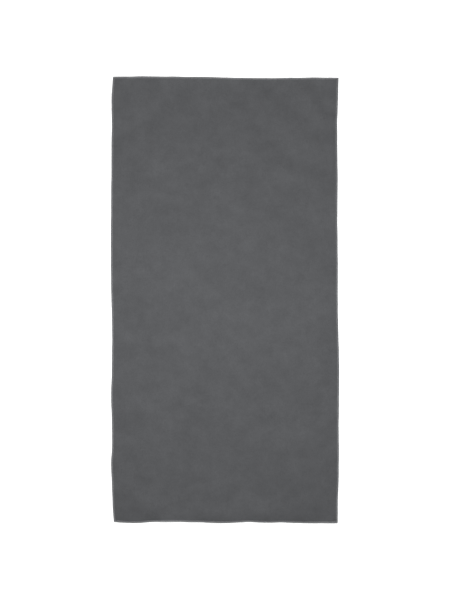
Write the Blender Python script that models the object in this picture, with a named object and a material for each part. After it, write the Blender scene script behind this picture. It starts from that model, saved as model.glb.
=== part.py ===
# A quick dry towel: one sheet of brushed microfibre cloth whose four cut edges are overlocked.
#
# The towel lies flat with its underside at Z = 0, its length along Y and its middle over the origin.
# Each side has its own three-thread seam. The needle thread runs along the needle line. The upper
# looper thread covers the top of the margin and the lower looper thread covers the underside. Both
# wrap round the cut edge and meet halfway up it. The margin is squeezed thin under the threads, so
# the seam is no thicker than the cloth beside it.
#
# Sizes are in metres.

import math

import bmesh
import bpy
from mathutils import Matrix

# Driving dimensions.
TOWEL_WIDTH = 0.710
TOWEL_LENGTH = 1.400
CLOTH_THICKNESS = 0.0015
SEAM_WIDTH = 0.0050
LOOPER_THICKNESS = 0.00035
NEEDLE_THREAD_DIAMETER = 0.0004
THREAD_GAP = 0.0002
MARGIN_SLOPE_RUN = 0.0012

# Smoothness of the round parts.
WRAP_ARC_STEPS = 4
NEEDLE_THREAD_SIDES = 8

# Sizes that follow from them.
HALF_THICKNESS = CLOTH_THICKNESS / 2
NEEDLE_LINE = SEAM_WIDTH + THREAD_GAP + NEEDLE_THREAD_DIAMETER / 2
MARGIN_INNER_EDGE = NEEDLE_LINE + NEEDLE_THREAD_DIAMETER / 2 + THREAD_GAP
MARGIN_CUT_EDGE = LOOPER_THICKNESS + THREAD_GAP
MARGIN_LOW = LOOPER_THICKNESS + THREAD_GAP
MARGIN_HIGH = CLOTH_THICKNESS - MARGIN_LOW
WRAP_RADIUS = HALF_THICKNESS - THREAD_GAP / 2
LONG_SEAM_LENGTH = TOWEL_LENGTH
SHORT_SEAM_LENGTH = TOWEL_WIDTH - 2 * MARGIN_INNER_EDGE

# Finishes: linear colour and roughness.
CLOTH_COLOR = (0.080, 0.081, 0.085)
CLOTH_ROUGHNESS = 0.95
THREAD_COLOR = (0.120, 0.121, 0.126)
THREAD_ROUGHNESS = 0.75

# Where each side's seam starts: the middle of its outer edge, and the turn that points its local +X
# into the towel.
SIDES = {
    "left": {"place": (-TOWEL_WIDTH / 2, 0), "turn": 0, "length": LONG_SEAM_LENGTH},
    "right": {"place": (TOWEL_WIDTH / 2, 0), "turn": 180, "length": LONG_SEAM_LENGTH},
    "head": {"place": (0, TOWEL_LENGTH / 2), "turn": -90, "length": SHORT_SEAM_LENGTH},
    "foot": {"place": (0, -TOWEL_LENGTH / 2), "turn": 90, "length": SHORT_SEAM_LENGTH},
}


def clear_scene():
    for thing in list(bpy.data.objects):
        bpy.data.objects.remove(thing, do_unlink=True)


def make_material(name, color, roughness):
    material = bpy.data.materials.new(name)
    material.use_nodes = True
    shader = material.node_tree.nodes["Principled BSDF"]
    shader.inputs["Base Color"].default_value = (*color, 1.0)
    shader.inputs["Roughness"].default_value = roughness
    shader.inputs["Metallic"].default_value = 0.0
    return material


def add_piece(name, shape, material, parent):
    """Turn a finished shape into a named object with its faces pointing out."""
    bmesh.ops.recalc_face_normals(shape, faces=shape.faces)
    if shape.calc_volume(signed=True) < 0:
        bmesh.ops.reverse_faces(shape, faces=shape.faces)
    mesh = bpy.data.meshes.new(name)
    shape.to_mesh(mesh)
    shape.free()
    mesh.materials.append(material)
    piece = bpy.data.objects.new(name, mesh)
    bpy.context.scene.collection.objects.link(piece)
    piece.parent = parent
    return piece


def add_empty(name, parent):
    empty = bpy.data.objects.new(name, None)
    bpy.context.scene.collection.objects.link(empty)
    empty.parent = parent
    return empty


def make_panel(material, parent):
    """The sheet: full thickness inside, sloping down to a thin margin under the seams."""
    full_inset = MARGIN_INNER_EDGE + MARGIN_SLOPE_RUN
    rings = (
        (MARGIN_INNER_EDGE, MARGIN_LOW),
        (MARGIN_CUT_EDGE, MARGIN_LOW),
        (MARGIN_CUT_EDGE, MARGIN_HIGH),
        (MARGIN_INNER_EDGE, MARGIN_HIGH),
        (full_inset, CLOTH_THICKNESS),
    )
    half_width = TOWEL_WIDTH / 2 - full_inset
    half_length = TOWEL_LENGTH / 2 - full_inset
    signs = ((-1, -1), (1, -1), (1, 1), (-1, 1))
    shape = bmesh.new()
    underside = shape.faces.new([shape.verts.new((x * half_width, y * half_length, 0)) for x, y in signs])
    outline = underside.edges[:]
    for inset, height in rings:
        grown = bmesh.ops.extrude_edge_only(shape, edges=outline)["geom"]
        corners = [part for part in grown if isinstance(part, bmesh.types.BMVert)]
        for corner in corners:
            corner.co.x = math.copysign(TOWEL_WIDTH / 2 - inset, corner.co.x)
            corner.co.y = math.copysign(TOWEL_LENGTH / 2 - inset, corner.co.y)
            corner.co.z = height
        edges = [part for part in grown if isinstance(part, bmesh.types.BMEdge)]
        outline = [edge for edge in edges if all(corner in corners for corner in edge.verts)]
    bmesh.ops.edgeloop_fill(shape, edges=outline)
    return add_piece("cloth_panel", shape, material, parent)


def wrap_arc(radius, center):
    """A quarter round from straight out of the edge to straight up, in the seam's own section."""
    points = []
    for step in range(WRAP_ARC_STEPS + 1):
        angle = math.radians(90) * step / WRAP_ARC_STEPS
        points.append((center[0] - radius * math.cos(angle), center[1] + radius * math.sin(angle)))
    return points


def looper_section():
    """The upper looper's section: distance in from the outer edge, and height above mid-thickness."""
    center = (WRAP_RADIUS, THREAD_GAP / 2)
    outside = wrap_arc(WRAP_RADIUS, center)
    inside = wrap_arc(WRAP_RADIUS - LOOPER_THICKNESS, center)
    top_end = (SEAM_WIDTH, HALF_THICKNESS)
    under_end = (SEAM_WIDTH, HALF_THICKNESS - LOOPER_THICKNESS)
    return outside + [top_end, under_end] + list(reversed(inside))


def make_looper(name, side_of_cloth, length, material, parent):
    """A looper thread: its section drawn out along the side. side_of_cloth is 1 above, -1 below."""
    shape = bmesh.new()
    corners = [
        shape.verts.new((inward, -length / 2, HALF_THICKNESS + side_of_cloth * height))
        for inward, height in looper_section()
    ]
    end = shape.faces.new(corners)
    drawn = bmesh.ops.extrude_face_region(shape, geom=[end], use_keep_orig=True)
    moved = [part for part in drawn["geom"] if isinstance(part, bmesh.types.BMVert)]
    bmesh.ops.translate(shape, verts=moved, vec=(0, length, 0))
    return add_piece(name, shape, material, parent)


def make_needle_thread(name, length, material, parent):
    """The needle thread: a thin cord along the needle line, level with the top of the cloth."""
    height = CLOTH_THICKNESS - NEEDLE_THREAD_DIAMETER / 2
    place = Matrix.Translation((NEEDLE_LINE, 0, height))
    along_side = Matrix.Rotation(math.radians(90), 4, "X")
    shape = bmesh.new()
    bmesh.ops.create_cone(
        shape,
        cap_ends=True,
        segments=NEEDLE_THREAD_SIDES,
        radius1=NEEDLE_THREAD_DIAMETER / 2,
        radius2=NEEDLE_THREAD_DIAMETER / 2,
        depth=length,
        matrix=place @ along_side,
    )
    piece = add_piece(name, shape, material, parent)
    piece.data.shade_smooth()
    piece.data.set_sharp_from_angle(angle=math.radians(60))
    return piece


def make_seam(side, material, parent):
    """One side's overlocked seam: its three threads, held by an empty at the side's outer edge."""
    spec = SIDES[side]
    edge = add_empty("edge_" + side, parent)
    edge.location = (*spec["place"], 0)
    edge.rotation_euler = (0, 0, math.radians(spec["turn"]))
    make_needle_thread("needle_thread_" + side, spec["length"], material, edge)
    make_looper("upper_looper_thread_" + side, 1, spec["length"], material, edge)
    make_looper("lower_looper_thread_" + side, -1, spec["length"], material, edge)


def main():
    clear_scene()
    cloth = make_material("cloth", CLOTH_COLOR, CLOTH_ROUGHNESS)
    thread = make_material("seam_thread", THREAD_COLOR, THREAD_ROUGHNESS)
    towel = add_empty("towel", None)
    make_panel(cloth, towel)
    for side in SIDES:
        make_seam(side, thread, towel)
    bpy.context.view_layer.update()


main()
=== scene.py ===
import math

import bpy
import numpy as np
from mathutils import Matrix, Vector


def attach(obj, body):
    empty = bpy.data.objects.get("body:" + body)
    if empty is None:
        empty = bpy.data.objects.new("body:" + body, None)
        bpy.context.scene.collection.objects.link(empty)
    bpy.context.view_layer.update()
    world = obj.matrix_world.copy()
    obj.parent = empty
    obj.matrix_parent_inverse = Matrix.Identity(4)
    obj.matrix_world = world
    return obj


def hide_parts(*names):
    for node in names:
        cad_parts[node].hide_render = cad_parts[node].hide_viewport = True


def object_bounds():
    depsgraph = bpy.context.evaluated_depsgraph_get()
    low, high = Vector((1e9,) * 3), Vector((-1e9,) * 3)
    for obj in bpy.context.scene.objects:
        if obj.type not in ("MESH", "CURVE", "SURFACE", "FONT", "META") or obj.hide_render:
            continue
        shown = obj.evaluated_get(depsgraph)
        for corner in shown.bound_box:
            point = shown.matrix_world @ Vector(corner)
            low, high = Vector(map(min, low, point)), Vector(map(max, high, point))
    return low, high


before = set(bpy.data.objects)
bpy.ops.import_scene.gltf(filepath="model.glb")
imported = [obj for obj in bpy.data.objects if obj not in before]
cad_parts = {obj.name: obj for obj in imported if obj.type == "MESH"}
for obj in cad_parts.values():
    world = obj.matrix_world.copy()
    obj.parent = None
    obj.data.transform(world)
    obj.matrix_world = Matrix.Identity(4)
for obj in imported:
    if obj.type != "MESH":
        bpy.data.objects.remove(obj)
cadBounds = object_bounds()
print("frame loaded:", len(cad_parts), "nodes")

# The towel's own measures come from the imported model: x across, y along, z up.
millimetre = 0.001
low, high = cadBounds
halfWidth = (high.x - low.x) / 2
halfLength = (high.y - low.y) / 2
clothThickness = high.z - low.z


def feed(tree, node, inputs):  # links a node's inputs to other nodes, or sets them
    for name, value in inputs.items():
        socket = node.inputs[name]
        if isinstance(value, bpy.types.NodeSocket):
            tree.links.new(value, socket)
        else:
            socket.default_value = value


def put(tree, kind, inputs=None, **settings):  # adds a node
    node = tree.nodes.new(kind)
    for name, value in settings.items():
        setattr(node, name, value)
    feed(tree, node, inputs or {})
    return node


def maths(tree, operation, *values):  # a node that works on numbers
    node = put(tree, "ShaderNodeMath", dict(enumerate(values)), operation=operation)
    return node.outputs["Value"]


def vectors(tree, operation, *values):  # a node that works on vectors or colours
    node = put(tree, "ShaderNodeVectorMath", dict(enumerate(values)), operation=operation)
    return node.outputs["Vector"]


def addObject(name, data):
    thing = bpy.data.objects.new(name, data)
    bpy.context.scene.collection.objects.link(thing)
    return thing


def plainMesh(thing):  # applies a thing's modifiers to its mesh
    bpy.context.view_layer.update()
    depsgraph = bpy.context.evaluated_depsgraph_get()
    finished = bpy.data.meshes.new_from_object(thing.evaluated_get(depsgraph), depsgraph=depsgraph)
    thing.modifiers.clear()
    thing.data = finished
    return thing


def throughPoints(points, where):  # reads the smooth curve through (along, value) points
    xs, ys = np.array(points, float).T
    slopes = np.gradient(ys, xs)
    i = np.clip(np.searchsorted(xs, where) - 1, 0, len(xs) - 2)
    gap = xs[i + 1] - xs[i]
    t = np.clip((where - xs[i]) / gap, 0, 1)
    return (
        ys[i] * (2 * t**3 - 3 * t**2 + 1)
        + ys[i + 1] * (3 * t**2 - 2 * t**3)
        + slopes[i] * gap * (t**3 - 2 * t**2 + t)
        + slopes[i + 1] * gap * (t**3 - t**2)
    )


# Where each side really runs, in mm: place along the side from its middle, and how far out of true
# the edge lies there. The edge is held down at these points and lies free between them.
sideRuns = {
    "left": [(-700, -6), (-665, -3), (-615, -1), (-565, 1), (-515, 3), (-465, 0), (-365, 1),
             (-300, 3), (-240, 1), (-115, -0.5), (65, 3), (140, 3.5), (265, 3), (390, 2),
             (540, 0.5), (665, -0.5), (700, -3)],
    "right": [(-700, 0), (-615, 1), (-570, 3), (-515, 3.5), (-390, 3), (-175, 4), (-115, 2.5),
              (-40, 0.5), (150, 0), (240, -1), (415, -0.5), (555, -1.5), (615, 0.5), (665, 1.5),
              (700, 3)],
    "head": [(-355, 1.5), (-300, 2), (-190, 2), (-115, 1), (-20, -0.5), (35, -2), (150, -3),
             (225, -2), (310, -1.5), (355, -2)],
    "foot": [(-355, -1.5), (-285, 2), (-230, -1.5), (-80, -0.5), (0, 2), (75, -1.5), (130, 1),
             (175, 0), (235, 2), (355, 2)],
}

laying = {
    "gridStep": 0.0100,       # spacing of the simulated cloth's points
    "slack": 0.0006,          # spare cloth, as a share, that shows as low ripples
    "cornerSpare": 0.0008,    # extra cloth at each head corner, which ripples across it
    "cornerReach": 0.12,
    "pullReach": 0.09,        # how far a pull on an edge carries into the cloth
    "startRipple": 0.0012,    # height of the air left under the cloth as it is put down
    "rippleSizes": (0.34, 0.15, 0.07),
    "liftReach": 0.05,        # the air is let out this far in from an edge
    "edgeLift": 0.25,         # share of it that is left at the edge
    "frames": 45,
    "pressFrames": 12,        # the held points are pushed in to their laid places over these
    "clearance": 0.001,       # the collision layer on the floor
    "collisionQuality": 3,
    "floorFriction": 12.0,
    "floorHalf": (1.5, 2.0),
    "seed": 11,
}
clothPhysics = {
    "quality": 6,
    "mass": 0.008,            # of one point
    "tension_stiffness": 18.0,
    "compression_stiffness": 18.0,
    "shear_stiffness": 6.0,
    "bending_stiffness": 20.0,
    "tension_damping": 8.0,
    "compression_damping": 8.0,
    "shear_damping": 8.0,
    "bending_damping": 0.6,
    "air_damping": 4.0,
}
waves = {
    "perSize": 5,
    "spread": (0.75, 1.3),    # of the size, for the length of one wave
    "tallness": 0.5,          # power of the size that a wave's height goes with
}


def fromEdge(x, y):  # how far in from the nearest outer edge
    return np.minimum(halfWidth - np.abs(x), halfLength - np.abs(y))


def laidPlace(x, y):  # moves flat places sideways as far as the edges are out of true
    reach = laying["pullReach"]
    run = {side: throughPoints(points, (y if side in ("left", "right") else x) / millimetre)
           for side, points in sideRuns.items()}
    outward = (run["right"] * np.exp((x - halfWidth) / reach)
               - run["left"] * np.exp((-halfWidth - x) / reach))
    upward = (run["head"] * np.exp((y - halfLength) / reach)
              - run["foot"] * np.exp((-halfLength - y) / reach))
    return x + outward * millimetre, y + upward * millimetre


def softRipple(x, y, sizes, seed):  # seeded sum of a few crossing waves, about -1 to 1
    draw = np.random.default_rng(seed)
    total = np.zeros_like(x)
    for size in sizes:
        for _ in range(waves["perSize"]):
            heading = draw.uniform(0, math.pi)
            phase = draw.uniform(0, 2 * math.pi)
            length = size * draw.uniform(*waves["spread"])
            across = x * math.cos(heading) + y * math.sin(heading)
            height = size ** waves["tallness"]
            total += np.sin(2 * math.pi * across / length + phase) * height
    return total / np.abs(total).max()


def gridMesh(name, places):  # an open quad grid, rows along y and columns along x
    rows, columns = places.shape[:2]
    index = np.arange(rows * columns).reshape(rows, columns)
    quads = np.stack([index[:-1, :-1], index[:-1, 1:], index[1:, 1:], index[1:, :-1]], -1)
    mesh = bpy.data.meshes.new(name)
    mesh.from_pydata(places.reshape(-1, 3).tolist(), [], quads.reshape(-1, 4).tolist())
    return mesh


def flatBoard(name, across, along):  # a flat rectangle on the floor, from its half sizes
    corners = [[(-across, -along, 0), (across, -along, 0)],
               [(-across, along, 0), (across, along, 0)]]
    return addObject(name, gridMesh(name, np.array(corners, float)))


def meshPlaces(mesh, shape):  # the places of a grid mesh's points, row by row
    places = np.empty(len(mesh.vertices) * 3)
    mesh.vertices.foreach_get("co", places)
    return places.reshape(*shape, 3)


def evenLines(half, step):
    return np.linspace(-half, half, 2 * round(half / step) + 1)


def layCloth():  # lays the cut on the floor and returns its grid lines and where they end up
    columns = evenLines(halfWidth, laying["gridStep"])
    rows = evenLines(halfLength, laying["gridStep"])
    x, y = np.meshgrid(columns, rows)
    laidX, laidY = laidPlace(x, y)
    ripple = softRipple(x, y, laying["rippleSizes"], laying["seed"])
    fade = np.clip(fromEdge(x, y) / laying["liftReach"], laying["edgeLift"], 1)
    lift = laying["startRipple"] * (1 + ripple) * fade
    laid = np.stack([laidX, laidY, lift + laying["clearance"]], -1)

    pressed = []  # the points of the edges that are held down
    for side, points in sideRuns.items():
        for along, _ in points:
            if side in ("left", "right"):
                row = int(np.argmin(np.abs(rows - along * millimetre)))
                column = 0 if side == "left" else len(columns) - 1
            else:
                column = int(np.argmin(np.abs(columns - along * millimetre)))
                row = 0 if side == "foot" else len(rows) - 1
            laid[row, column, 2] = 2 * laying["clearance"]
            pressed.append(row * len(columns) + column)
    cut = laid * (1 + laying["slack"], 1 + laying["slack"], 1)
    for side in (-1, 1):
        toCorner = np.hypot(x - side * halfWidth, y - halfLength)
        spare = laying["cornerSpare"] * np.exp(-(toCorner / laying["cornerReach"]) ** 2)
        cut[..., 0] += side * spare
        cut[..., 1] += spare
    cloth = addObject("layingCloth", gridMesh("layingCloth", cut))
    cloth.shape_key_add(name="cut")
    laidKey = cloth.shape_key_add(name="laid")
    laidKey.data.foreach_set("co", laid.ravel())
    for step, value in ((1, 0.0), (laying["pressFrames"], 1.0)):
        laidKey.value = value
        laidKey.keyframe_insert("value", frame=step)
    held = cloth.vertex_groups.new(name="held")
    held.add(pressed, 1.0, "REPLACE")

    board = flatBoard("layingBoard", *laying["floorHalf"])
    board.modifiers.new("stop", "COLLISION")
    board.collision.thickness_outer = laying["clearance"]
    board.collision.cloth_friction = laying["floorFriction"]

    settling = cloth.modifiers.new("settle", "CLOTH")
    settling.settings.vertex_group_mass = "held"
    for name, value in clothPhysics.items():
        setattr(settling.settings, name, value)
    settling.collision_settings.distance_min = laying["clearance"]
    settling.collision_settings.collision_quality = laying["collisionQuality"]
    settling.point_cache.frame_start = 1
    settling.point_cache.frame_end = laying["frames"]

    scene = bpy.context.scene
    for step in range(1, laying["frames"] + 1):
        scene.frame_set(step)
    depsgraph = bpy.context.evaluated_depsgraph_get()
    settled = meshPlaces(cloth.evaluated_get(depsgraph).data, x.shape)
    for thing in (cloth, board):
        bpy.data.objects.remove(thing, do_unlink=True)
    scene.frame_set(1)
    return columns, rows, settled


def evened(grid):  # takes out wrinkles finer than the grid can hold, and keeps its corners
    for axis in (0, 1):
        lines = np.moveaxis(grid, axis, 0)
        inner = (lines[:-2] + 2 * lines[1:-1] + lines[2:]) / 4
        grid = np.moveaxis(np.concatenate([lines[:1], inner, lines[-1:]]), 0, axis)
    return grid


def cubicMatrix(lines, wanted):  # weights that read the smooth curve through even lines
    step = lines[1] - lines[0]
    last = len(lines) - 1
    weights = np.zeros((len(wanted), len(lines)))
    for row, place in enumerate(wanted):
        i = int(np.clip((place - lines[0]) // step, 0, last - 1))
        t = (place - lines[i]) / step
        taps = (-t**3 + 2 * t**2 - t, 3 * t**3 - 5 * t**2 + 2,
                -3 * t**3 + 4 * t**2 + t, t**3 - t**2)
        for k, tap in zip((i - 1, i, i + 1, i + 2), taps):  # past an end, its line runs straight on
            end = min(max(k, 0), last)
            beside = 1 if k < 0 else last - 1
            weights[row, end] += tap if end == k else 2 * tap
            weights[row, beside] -= 0 if end == k else tap
    return weights / 2


columns, rows, settled = layCloth()
laidX, laidY = laidPlace(*np.meshgrid(columns, rows))
laidFlat = np.stack([laidX, laidY, np.zeros_like(laidX)], -1)
settled = laidFlat + evened(settled - laidFlat)
settled[..., 2] -= settled[..., 2].min() - clothThickness / 2
print("cloth laid:", len(rows), "by", len(columns), "points, highest",
      round(settled[..., 2].max() / millimetre, 2), "mm")


cloth = {
    "gridStep": 0.0052,       # spacing of the finished cloth's points, away from the seams
    "rimLines": (0.8, 2.6, 4.6, 5.9, 7.2, 9.0, 12.0),  # more of them near the edges, mm in
    "marginEnd": 6.5,         # the margin under the threads is squeezed thin this far in, mm
    "marginThickness": 0.33,  # of the full thickness
    "napThinnest": 0.93,      # of the full thickness, where the nap lies flattest
    "napPatch": 0.03,         # size of the flatter patches of nap
    "cornerRaise": 0.0003,    # the cloth is lifted by this at the corners, where seams cross
    "cornerReach": 0.012,
    "puckerHeight": 0.00012,  # fine ripples that the seams draw up, strongest at the head corners
    "puckerSizes": (0.034, 0.022),
    "puckerShare": 0.5,       # beside a seam, of the height at a head corner
    "seamPuckerReach": 0.025,
    "cornerPuckerReach": 0.09,
}


def gridLines(half, rimLines):  # the grid's lines across the towel, close together at its edges
    rim = half - np.array(rimLines) * millimetre
    inner = np.linspace(-rim[-1], rim[-1], round(2 * rim[-1] / cloth["gridStep"]) + 1)
    return np.concatenate([-rim, inner[1:-1], rim[::-1]])


def seamRise(x, y):  # how far the seams lift the cloth
    toCorner = np.hypot(halfWidth - np.abs(x), halfLength - np.abs(y))
    toHeadCorner = np.hypot(halfWidth - np.abs(x), halfLength - y)
    raised = cloth["cornerRaise"] * np.exp(-(toCorner / cloth["cornerReach"]) ** 2)
    pucker = cloth["puckerShare"] * np.exp(-np.abs(fromEdge(x, y)) / cloth["seamPuckerReach"])
    pucker += np.exp(-(toHeadCorner / cloth["cornerPuckerReach"]) ** 2)
    pucker *= softRipple(x, y, cloth["puckerSizes"], laying["seed"] + 2)
    return raised + cloth["puckerHeight"] * pucker


def settledSheet(name, rimLines):  # the settled cloth's middle, with its flat places as a UV map
    across, along = gridLines(halfWidth, rimLines), gridLines(halfLength, rimLines)
    fromRows, fromColumns = cubicMatrix(rows, along), cubicMatrix(columns, across)
    places = np.einsum("ri,cj,ijk->rck", fromRows, fromColumns, settled)
    x, y = np.meshgrid(across, along)
    places[..., 2] += seamRise(x, y)
    mesh = gridMesh(name, places)
    mesh.shade_smooth()
    corners = np.empty(len(mesh.loops), int)
    mesh.loops.foreach_get("vertex_index", corners)
    flat = np.stack([x, y], -1).reshape(-1, 2)
    mesh.uv_layers.new(name="flat").uv.foreach_set("vector", flat[corners].ravel())
    return addObject(name, mesh), x, y


def softPatches(x, y, size, seed):  # seeded soft unevenness from 0 to 1, on the points of a grid
    draw = np.random.default_rng(seed)
    beyond = 3 * size
    across = np.arange(-halfWidth - beyond, halfWidth + beyond, size)
    along = np.arange(-halfLength - beyond, halfLength + beyond, size)
    coarse = draw.uniform(0, 1, (len(along), len(across)))
    return np.clip(cubicMatrix(along, y[:, 0]) @ coarse @ cubicMatrix(across, x[0]).T, 0, 1)


def makeCloth():
    piece, x, y = settledSheet("towelCloth", cloth["rimLines"])
    nap = softPatches(x, y, cloth["napPatch"], laying["seed"] + 1)
    share = cloth["napThinnest"] + (1 - cloth["napThinnest"]) * nap
    inMargin = fromEdge(x, y) / millimetre < cloth["marginEnd"]
    share = np.where(inMargin, cloth["marginThickness"], share)
    thick = piece.vertex_groups.new(name="thickness")
    for index, value in enumerate(share.ravel().tolist()):
        thick.add([index], value, "REPLACE")
    body = piece.modifiers.new("body", "SOLIDIFY")
    body.thickness = clothThickness
    body.offset = 0
    body.vertex_group = "thickness"
    body.use_even_offset = True
    return plainMesh(piece)


towelCloth = makeCloth()
print("cloth made:", len(towelCloth.data.polygons), "faces")


# Each list is one stitch of a thread, from one needle hole to the next, in mm: how far in from the
# outer edge, how far along, and the height from the cloth's middle. The looper threads run out to the
# edge and back, and hook round each other there.
stitches = {
    "upperLooper": [
        (5.68, 0.00, 0.42), (5.40, 0.38, 0.43), (3.60, 0.55, 0.45), (1.80, 0.76, 0.45),
        (0.58, 0.89, 0.40), (0.17, 0.95, 0.10), (0.34, 1.10, -0.17), (0.52, 1.25, 0.10),
        (0.60, 1.31, 0.40), (1.80, 1.44, 0.45), (3.60, 1.62, 0.45), (5.40, 1.66, 0.43),
    ],
    "lowerLooper": [
        (5.68, 0.00, -0.42), (5.40, 0.38, -0.43), (3.60, 0.55, -0.45), (1.80, 0.76, -0.45),
        (0.58, 0.89, -0.40), (0.52, 0.95, -0.10), (0.34, 1.10, 0.17), (0.17, 1.25, -0.10),
        (0.60, 1.31, -0.40), (1.80, 1.44, -0.45), (3.60, 1.62, -0.45), (5.40, 1.66, -0.43),
    ],
    "needle": [
        (5.40, 0.10, 0.30), (5.40, 0.28, 0.66), (5.40, 1.00, 0.70), (5.40, 1.72, 0.66),
        (5.40, 1.88, 0.30), (5.40, 1.90, -0.40), (5.40, 2.00, -0.60),
    ],
}

seam = {
    "drawnPitch": 0.002,      # length of the stitches as they are drawn above
    "stitchLength": 0.0014,
    "looperRadius": 0.00022,
    "needleRadius": 0.00017,
    "threadSides": 5,
    "drift": 0.05,            # slow change of the seam's width, as a share of it
    "driftSize": 0.045,       # length of seam over which it changes
    "jitter": 0.03,           # difference from stitch to stitch
    "endInset": 0.0009,       # a seam's first and last stitches are this far in, on the cloth
    "endSwell": 0.75,         # how much higher the short sides' threads stand at a crossing
    "endReach": 0.0068,
    "endSlope": 0.7,          # share of that reach over which they stand at full height
}


def integers(tree, operation, *values):  # a node that works on whole numbers
    node = put(tree, "FunctionNodeIntegerMath", dict(enumerate(values)), operation=operation)
    return node.outputs["Value"]


def sewnThreadTree():  # repeats one stitch along a side of the towel, as a round thread on the cloth
    tree = bpy.data.node_groups.new("sewnThread", "GeometryNodeTree")
    sockets = {
        "Geometry": "Geometry", "Sheet": "Object", "Side Start": "Vector", "Along": "Vector",
        "Inward": "Vector", "Stitches": "Int", "Stitch Length": "Float", "Thread Radius": "Float",
        "Thread Sides": "Int", "Drift": "Float", "Drift Size": "Float", "Jitter": "Float",
        "End Swell": "Float", "End Reach": "Float", "Seed": "Int", "Material": "Material",
    }
    for name, kind in sockets.items():
        tree.interface.new_socket(name, in_out="INPUT", socket_type="NodeSocket" + kind)
    tree.interface.new_socket("Geometry", in_out="OUTPUT", socket_type="NodeSocketGeometry")
    given = put(tree, "NodeGroupInput").outputs

    # One point for each corner of each stitch.
    size = put(tree, "GeometryNodeAttributeDomainSize", {"Geometry": given["Geometry"]})
    perStitch = size.outputs["Point Count"]
    count = integers(tree, "MULTIPLY", given["Stitches"], perStitch)
    line = put(tree, "GeometryNodeMeshLine", {"Count": count}, mode="OFFSET").outputs["Mesh"]
    index = put(tree, "GeometryNodeInputIndex").outputs["Index"]
    stitch = integers(tree, "DIVIDE_FLOOR", index, perStitch)
    corner = integers(tree, "MODULO", index, perStitch)
    position = put(tree, "GeometryNodeInputPosition").outputs["Position"]
    shape = put(tree, "GeometryNodeSampleIndex",
                {"Geometry": given["Geometry"], "Value": position, "Index": corner},
                data_type="FLOAT_VECTOR").outputs["Value"]
    inward, along, height = put(tree, "ShaderNodeSeparateXYZ", {"Vector": shape}).outputs
    run = maths(tree, "MULTIPLY_ADD", stitch, given["Stitch Length"], along)

    # The seam's width drifts slowly, and no two stitches are quite alike.
    driftAt = put(tree, "ShaderNodeCombineXYZ", {
        "X": maths(tree, "DIVIDE", run, given["Drift Size"]), "Y": given["Seed"],
    }).outputs[0]
    drift = put(tree, "ShaderNodeTexNoise",
                {"Vector": driftAt, "Scale": 1.0, "Detail": 1.0}).outputs[0]
    drift = maths(tree, "MULTIPLY_ADD", drift, 4.0, -2.0)  # about -1 to 1
    drift = maths(tree, "MULTIPLY", drift, given["Drift"])
    jitter = put(tree, "FunctionNodeRandomValue",  # sockets 2 and 3 are its lowest and highest
                 {2: -1.0, 3: 1.0, "ID": stitch, "Seed": given["Seed"]}, data_type="FLOAT")
    jitter = maths(tree, "MULTIPLY_ADD", jitter.outputs[1], given["Jitter"], drift)
    inward = maths(tree, "MULTIPLY", inward, maths(tree, "ADD", jitter, 1.0))

    # Threads that cross an earlier seam at a corner go over it.
    total = maths(tree, "MULTIPLY", given["Stitches"], given["Stitch Length"])
    toEnd = maths(tree, "MINIMUM", run, maths(tree, "SUBTRACT", total, run))
    swell = put(tree, "ShaderNodeMapRange", {
        "Value": toEnd, "From Min": given["End Reach"],
        "From Max": maths(tree, "MULTIPLY", given["End Reach"], seam["endSlope"]),
        "To Min": 1.0, "To Max": maths(tree, "ADD", given["End Swell"], 1.0),
    }, interpolation_type="SMOOTHSTEP").outputs["Result"]
    height = maths(tree, "MULTIPLY", height, swell)

    # The flat place is found again on the settled cloth.
    flat = vectors(tree, "MULTIPLY_ADD", given["Along"], run, given["Side Start"])
    flat = vectors(tree, "MULTIPLY_ADD", given["Inward"], inward, flat)
    sheet = put(tree, "GeometryNodeObjectInfo", {"Object": given["Sheet"]}).outputs["Geometry"]
    flatMap = put(tree, "GeometryNodeInputNamedAttribute", {"Name": "flat"},
                  data_type="FLOAT_VECTOR").outputs["Attribute"]

    def onSheet(value):  # reads the settled cloth at the flat place
        return put(tree, "GeometryNodeSampleUVSurface",
                   {"Mesh": sheet, "Value": value, "UV Map": flatMap, "Sample UV": flat},
                   data_type="FLOAT_VECTOR").outputs["Value"]

    normal = put(tree, "GeometryNodeInputNormal").outputs["Normal"]
    place = vectors(tree, "MULTIPLY_ADD", onSheet(normal), height, onSheet(position))
    route = put(tree, "GeometryNodeSetPosition", {"Geometry": line, "Position": place})
    route = put(tree, "GeometryNodeMeshToCurve", {"Mesh": route.outputs[0]}).outputs["Curve"]

    # A round thread, with the length along it and the place round it kept for its twist.
    length = put(tree, "GeometryNodeSplineParameter").outputs["Length"]
    route = put(tree, "GeometryNodeStoreNamedAttribute",
                {"Geometry": route, "Name": "threadRun", "Value": length}).outputs[0]
    ring = put(tree, "GeometryNodeCurvePrimitiveCircle",
               {"Resolution": given["Thread Sides"], "Radius": given["Thread Radius"]})
    around = vectors(tree, "DIVIDE", position, given["Thread Radius"])
    ring = put(tree, "GeometryNodeStoreNamedAttribute",
               {"Geometry": ring.outputs["Curve"], "Name": "threadRound", "Value": around},
               data_type="FLOAT_VECTOR").outputs[0]
    thread = put(tree, "GeometryNodeCurveToMesh",
                 {"Curve": route, "Profile Curve": ring, "Fill Caps": True}).outputs["Mesh"]
    thread = put(tree, "GeometryNodeSetShadeSmooth", {"Geometry": thread}).outputs[0]
    thread = put(tree, "GeometryNodeRealizeInstances", {"Geometry": thread}).outputs[0]
    thread = put(tree, "GeometryNodeSetMaterial",
                 {"Geometry": thread, "Material": given["Material"]}).outputs[0]
    put(tree, "NodeGroupOutput", {"Geometry": thread})
    return tree


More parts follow.
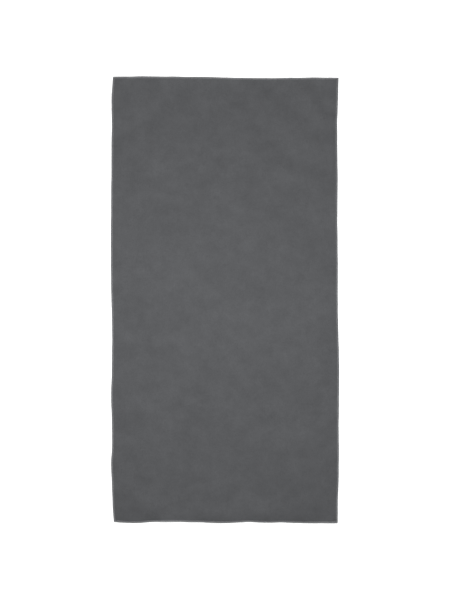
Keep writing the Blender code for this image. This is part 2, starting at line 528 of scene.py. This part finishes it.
def startGroup(name, takes, gives):  # an empty shader group with its sockets
    tree = bpy.data.node_groups.new(name, "ShaderNodeTree")
    for way, sockets in (("INPUT", takes), ("OUTPUT", gives)):
        for socket, kind in sockets.items():
            tree.interface.new_socket(socket, in_out=way, socket_type="NodeSocket" + kind)
    return tree, put(tree, "NodeGroupInput").outputs


def unevenDyeGroup():  # a colour, mottled softly from patch to patch
    tree, given = startGroup(
        "unevenDye",
        {"Place": "Vector", "Colour": "Color", "Patch Size": "Float", "Strength": "Float",
         "Fineness": "Float"},
        {"Colour": "Color", "Patches": "Float"})
    patches = put(tree, "ShaderNodeTexNoise", {
        "Vector": given["Place"], "Scale": maths(tree, "DIVIDE", 1.0, given["Patch Size"]),
        "Detail": 4.0, "Roughness": given["Fineness"],
    }).outputs[0]
    swing = maths(tree, "MULTIPLY", maths(tree, "SUBTRACT", patches, 0.5), given["Strength"])
    colour = vectors(tree, "MULTIPLY", given["Colour"], maths(tree, "ADD", swing, 1.0))
    put(tree, "NodeGroupOutput", {"Colour": colour, "Patches": patches})
    return tree


fibres = {
    "tuftScale": 0.55,        # tufts to a fibre
    "tuftDepth": -0.7,        # how far the height drops between tufts
    "tipHeight": 0.35,
    "darkest": 0.15,          # heights that the painted shade runs from and to
    "lightest": 0.75,
}


def fibreFuzzGroup():  # the tips of short fibres: their height, and the painted shade in the gaps between them
    tree, given = startGroup(
        "fibreFuzz",
        {"Place": "Vector", "Fibre Size": "Float", "Lean": "Float"},
        {"Height": "Float", "Shade": "Float"})
    scale = maths(tree, "DIVIDE", 1.0, given["Fibre Size"])
    lean = put(tree, "ShaderNodeCombineXYZ", {"X": 1.0, "Y": given["Lean"], "Z": 1.0})
    combed = vectors(tree, "MULTIPLY", given["Place"], lean.outputs[0])
    tips = put(tree, "ShaderNodeTexNoise", {
        "Vector": combed, "Scale": scale, "Detail": 4.0, "Roughness": 0.7, "Distortion": 0.25,
    }).outputs[0]
    tufts = put(tree, "ShaderNodeTexVoronoi", {
        "Vector": combed, "Scale": maths(tree, "MULTIPLY", scale, fibres["tuftScale"]),
    }).outputs["Distance"]
    raised = maths(tree, "ADD", tips, fibres["tipHeight"])
    height = maths(tree, "MULTIPLY_ADD", tufts, fibres["tuftDepth"], raised)
    # painted shade: the lower the fibres lie, the darker the colour
    paintedShading = put(tree, "ShaderNodeMapRange", {
        "Value": height, "From Min": fibres["darkest"], "From Max": fibres["lightest"],
        "To Min": 0.0, "To Max": 1.0,
    }).outputs["Result"]
    put(tree, "NodeGroupOutput", {"Height": height, "Shade": paintedShading})
    return tree


unevenDye = unevenDyeGroup()
fibreFuzz = fibreFuzzGroup()


def placeGroup(tree, group, inputs):
    return put(tree, "ShaderNodeGroup", inputs, node_tree=group).outputs


def startMaterial(name):
    material = bpy.data.materials.new(name)
    material.use_nodes = True
    tree = material.node_tree
    return material, tree, tree.nodes["Principled BSDF"]


microfibre = {
    "colour": (0.0782, 0.0800, 0.0842, 1.0),
    "patchSize": 0.050,
    "patchStrength": 0.47,
    "patchFineness": 0.75,
    "layPatchSize": 0.17,     # patches where the nap lies another way
    "layPatchStrength": 0.18,
    "layPatchFineness": 0.3,
    "fibreSize": 0.00055,
    "fibreLean": 0.55,
    "paintedFibreShade": (0.40, 0.80),  # how much the painted shade between the fibre tips counts, and the darkest
    "napDepth": 0.0004,
    "napStrength": 0.8,
    "roughness": (-0.12, 1.0),   # change with the lay of the nap, and the roughest
    "specular": 0.25,
    "sheen": 0.25,
    "sheenRoughness": 0.45,
    "paintedSheenReach": (0.0085, 0.0055),  # painted sheen: the cloth's colour is made lighter beside the seam, where the nap is pressed flat
    "paintedSheenLift": 0.22,
}


def microfibreMaterial():
    look = microfibre
    material, tree, shader = startMaterial("brushedMicrofibre")
    place = put(tree, "ShaderNodeUVMap", uv_map="flat").outputs["UV"]
    dye = placeGroup(tree, unevenDye, {
        "Place": place, "Colour": look["colour"], "Patch Size": look["patchSize"],
        "Strength": look["patchStrength"], "Fineness": look["patchFineness"],
    })
    lay = placeGroup(tree, unevenDye, {
        "Place": place, "Colour": dye["Colour"], "Patch Size": look["layPatchSize"],
        "Strength": look["layPatchStrength"], "Fineness": look["layPatchFineness"],
    })
    nap = placeGroup(tree, fibreFuzz, {
        "Place": place, "Fibre Size": look["fibreSize"], "Lean": look["fibreLean"],
    })
    toEdges = vectors(tree, "SUBTRACT", (halfWidth, halfLength, 0), vectors(tree, "ABSOLUTE", place))
    toSide, toEnd, _ = put(tree, "ShaderNodeSeparateXYZ", {"Vector": toEdges}).outputs
    # painted sheen: the base colour is lightened towards the edges, beside the seam
    pressed = put(tree, "ShaderNodeMapRange", {
        "Value": maths(tree, "MINIMUM", toSide, toEnd), "From Min": look["paintedSheenReach"][0],
        "From Max": look["paintedSheenReach"][1], "To Min": 1.0, "To Max": 1 + look["paintedSheenLift"],
    }, interpolation_type="SMOOTHSTEP").outputs["Result"]
    # painted shade in the gaps between fibre tips darkens the base colour
    paintedShading = maths(tree, "MULTIPLY_ADD", nap["Shade"], *look["paintedFibreShade"])
    paintedShading = maths(tree, "MULTIPLY", paintedShading, pressed)
    bump = put(tree, "ShaderNodeBump", {
        "Height": nap["Height"], "Strength": look["napStrength"], "Distance": look["napDepth"],
    })
    feed(tree, shader, {
        "Base Color": vectors(tree, "MULTIPLY", lay["Colour"], paintedShading),
        "Roughness": maths(tree, "MULTIPLY_ADD", lay["Patches"], *look["roughness"]),
        "Normal": bump.outputs["Normal"],
        "Specular IOR Level": look["specular"],
        "Sheen Weight": look["sheen"],
        "Sheen Roughness": look["sheenRoughness"],
    })
    return material


threadLook = {
    "colour": (0.252, 0.256, 0.266, 1.0),
    "patchSize": 0.02,
    "patchStrength": 0.25,
    "patchFineness": 0.6,
    "plyTwist": 0.0011,       # length of thread for one full turn of its plies
    "plies": 2.0,
    "plyDepth": 0.0001,
    "plyStrength": 0.8,
    "paintedPlyShade": (0.45, 0.68),    # painted shade in the grooves between plies: how much a ply's height lightens it, and the darkest
    "fibreSize": 0.0001,
    "fibreLean": 0.4,
    "paintedFibreShade": 0.10,
    "fibreHeight": 0.3,       # share of a ply's
    "roughness": (-0.12, 0.82),  # change with a ply's height, and the roughest
    "specular": 0.35,
    "sheen": 0.3,
    "sheenRoughness": 0.4,
}


def threadMaterial():
    look = threadLook
    material, tree, shader = startMaterial("texturedPolyesterThread")
    run = put(tree, "ShaderNodeAttribute", attribute_name="threadRun").outputs["Fac"]
    around = put(tree, "ShaderNodeAttribute", attribute_name="threadRound").outputs["Vector"]
    place = put(tree, "ShaderNodeTexCoord").outputs["Object"]
    across, up, _ = put(tree, "ShaderNodeSeparateXYZ", {"Vector": around}).outputs
    turn = maths(tree, "MULTIPLY", maths(tree, "ARCTAN2", up, across), look["plies"])
    twist = maths(tree, "MULTIPLY_ADD", run, 2 * math.pi / look["plyTwist"], turn)
    ply = maths(tree, "MULTIPLY_ADD", maths(tree, "COSINE", twist), 0.5, 0.5)  # 0 to 1
    dye = placeGroup(tree, unevenDye, {
        "Place": place, "Colour": look["colour"], "Patch Size": look["patchSize"],
        "Strength": look["patchStrength"], "Fineness": look["patchFineness"],
    })
    fuzz = placeGroup(tree, fibreFuzz, {
        "Place": place, "Fibre Size": look["fibreSize"], "Lean": look["fibreLean"],
    })
    # painted shade: the thread's colour is darker in the grooves between its plies and between its
    # fibre tips
    paintedShading = maths(tree, "MULTIPLY_ADD", ply, *look["paintedPlyShade"])
    paintedShading = maths(tree, "MULTIPLY_ADD", fuzz["Shade"], look["paintedFibreShade"], paintedShading)
    bump = put(tree, "ShaderNodeBump", {
        "Height": maths(tree, "MULTIPLY_ADD", fuzz["Height"], look["fibreHeight"], ply),
        "Strength": look["plyStrength"], "Distance": look["plyDepth"],
    })
    feed(tree, shader, {
        "Base Color": vectors(tree, "MULTIPLY", dye["Colour"], paintedShading),
        "Roughness": maths(tree, "MULTIPLY_ADD", ply, *look["roughness"]),
        "Normal": bump.outputs["Normal"],
        "Specular IOR Level": look["specular"],
        "Sheen Weight": look["sheen"],
        "Sheen Roughness": look["sheenRoughness"],
    })
    return material


towelCloth.data.materials.clear()
towelCloth.data.materials.append(microfibreMaterial())
seamThread = threadMaterial()
sewnThread = sewnThreadTree()
beyondEdge = (-2.0, 0.0)      # the seams' guide is the cloth made 2 mm wider all round
seamGuide, _, _ = settledSheet("seamGuide", (*beyondEdge, *cloth["rimLines"]))

endAcross, endAlong = halfWidth - seam["endInset"], halfLength - seam["endInset"]
sides = {  # where each side's seam starts, which way it runs and which way is in
    "left": ((-halfWidth, -endAlong, 0), (0, 1, 0), (1, 0, 0)),
    "right": ((halfWidth, endAlong, 0), (0, -1, 0), (-1, 0, 0)),
    "head": ((-endAcross, halfLength, 0), (1, 0, 0), (0, -1, 0)),
    "foot": ((endAcross, -halfLength, 0), (-1, 0, 0), (0, 1, 0)),
}
threadNodes = {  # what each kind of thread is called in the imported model, before its side
    "upperLooper": "upper_looper_thread_",
    "lowerLooper": "lower_looper_thread_",
    "needle": "needle_thread_",
}


def makeThread(kind, side, seed):
    start, along, inward = sides[side]
    isLong = side in ("left", "right")
    sideLength = 2 * (endAlong if isLong else endAcross)
    count = round(sideLength / seam["stitchLength"])
    points = np.array(stitches[kind]) * millimetre
    points[:, 1] *= sideLength / count / seam["drawnPitch"]
    edges = [(i, i + 1) for i in range(len(points) - 1)]
    mesh = bpy.data.meshes.new(kind + side.capitalize())
    mesh.from_pydata(points.tolist(), edges, [])
    piece = addObject(mesh.name, mesh)
    sewing = piece.modifiers.new("sewing", "NODES")
    sewing.node_group = sewnThread
    values = {
        "Sheet": seamGuide,
        "Side Start": start,
        "Along": along,
        "Inward": inward,
        "Stitches": count,
        "Stitch Length": sideLength / count,
        "Thread Radius": seam["needleRadius" if kind == "needle" else "looperRadius"],
        "Thread Sides": seam["threadSides"],
        "Drift": seam["drift"],
        "Drift Size": seam["driftSize"],
        "Jitter": seam["jitter"],
        "End Swell": 0.0 if isLong else seam["endSwell"],
        "End Reach": seam["endReach"],
        "Seed": seed,
        "Material": seamThread,
    }
    for item in sewnThread.interface.items_tree:
        if item.name in values and item.in_out == "INPUT":
            value = values[item.name]
            isVector = isinstance(value, tuple)
            sewing[item.identifier] = [float(v) for v in value] if isVector else value
    return plainMesh(piece)


threads = {}
for seed, side in enumerate(sides):
    for kind, node in threadNodes.items():
        threads[node + side] = makeThread(kind, side, seed + 1)
bpy.data.objects.remove(seamGuide, do_unlink=True)
print("seams sewn:", len(threads), "threads,",
      sum(len(piece.data.polygons) for piece in threads.values()), "faces")


studio = {
    "floorHalf": 6.0,
    "floorColour": (0.92, 0.92, 0.92, 1.0),
    "floorPatchSize": 0.8,
    "floorPatchStrength": 0.02,
    "floorPatchFineness": 0.4,
    "floorRoughness": 0.9,
    "floorSpecular": 0.1,
    "floorGlow": 0.45,        # the floor is a light table
    "surround": 0.34,         # strength of the light from all round
    "softboxSize": 0.6,
    "softboxPlace": (-0.09, -0.06, 1.17),
    "softboxPower": 8.1,
    "keySize": 4.0,
    "keyPlace": (1.5, 10.5, 7.0),
    "keyPower": 1290.0,
    "viewHeight": 1.886,      # height of floor that the picture takes in
    "viewCentre": (0.0004, -0.0008),
    "lens": 85.0,
}


def makeFloor():
    floor = flatBoard("studioFloor", studio["floorHalf"], studio["floorHalf"])
    material, tree, shader = startMaterial("paleFloor")
    place = put(tree, "ShaderNodeTexCoord").outputs["Object"]
    dye = placeGroup(tree, unevenDye, {
        "Place": place, "Colour": studio["floorColour"], "Patch Size": studio["floorPatchSize"],
        "Strength": studio["floorPatchStrength"], "Fineness": studio["floorPatchFineness"],
    })
    feed(tree, shader, {
        "Base Color": dye["Colour"],
        "Roughness": studio["floorRoughness"],
        "Specular IOR Level": studio["floorSpecular"],
        "Emission Color": studio["floorColour"],
        "Emission Strength": studio["floorGlow"],
    })
    fromBelow = put(tree, "ShaderNodeNewGeometry").outputs["Backfacing"]  # clear from below
    clear = put(tree, "ShaderNodeBsdfTransparent").outputs["BSDF"]
    oneSided = put(tree, "ShaderNodeMixShader",
                   {0: fromBelow, 1: shader.outputs["BSDF"], 2: clear})
    feed(tree, tree.nodes["Material Output"], {"Surface": oneSided.outputs[0]})
    floor.data.materials.append(material)
    return floor


def addSoftbox(name, place, size, power, aim):
    light = bpy.data.lights.new(name, "AREA")
    light.shape = "SQUARE"
    light.size = size
    light.energy = power
    thing = addObject(name, light)
    thing.location = place
    toAim = Vector(aim) - Vector(place)
    thing.rotation_euler = toAim.to_track_quat("-Z", "Y").to_euler()
    thing.visible_camera = False


floor = makeFloor()
straightDown = (*studio["softboxPlace"][:2], 0)
addSoftbox("overheadSoftbox", studio["softboxPlace"], studio["softboxSize"],
           studio["softboxPower"], straightDown)
addSoftbox("sideSoftbox", studio["keyPlace"], studio["keySize"], studio["keyPower"], (0, 0, 0))

scene = bpy.context.scene
surround = bpy.data.worlds.new("studioSurround")
surround.use_nodes = True
tree = surround.node_tree
seen = put(tree, "ShaderNodeLightPath").outputs["Is Camera Ray"]  # the surround is seen as white
feed(tree, tree.nodes["Background"],
     {"Color": (1, 1, 1, 1), "Strength": maths(tree, "MAXIMUM", seen, studio["surround"])})
scene.world = surround
scene.view_settings.view_transform = "Standard"

camera = bpy.data.cameras.new("frontCamera")
camera.lens = studio["lens"]
cameraObject = addObject("frontCamera", camera)
distance = studio["viewHeight"] * camera.lens / camera.sensor_width
cameraObject.location = (*studio["viewCentre"], distance)
scene.camera = cameraObject
print("studio set up")

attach(towelCloth, "root")
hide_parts("cloth_panel")
for node, piece in threads.items():
    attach(piece, "root")
    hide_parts(node)
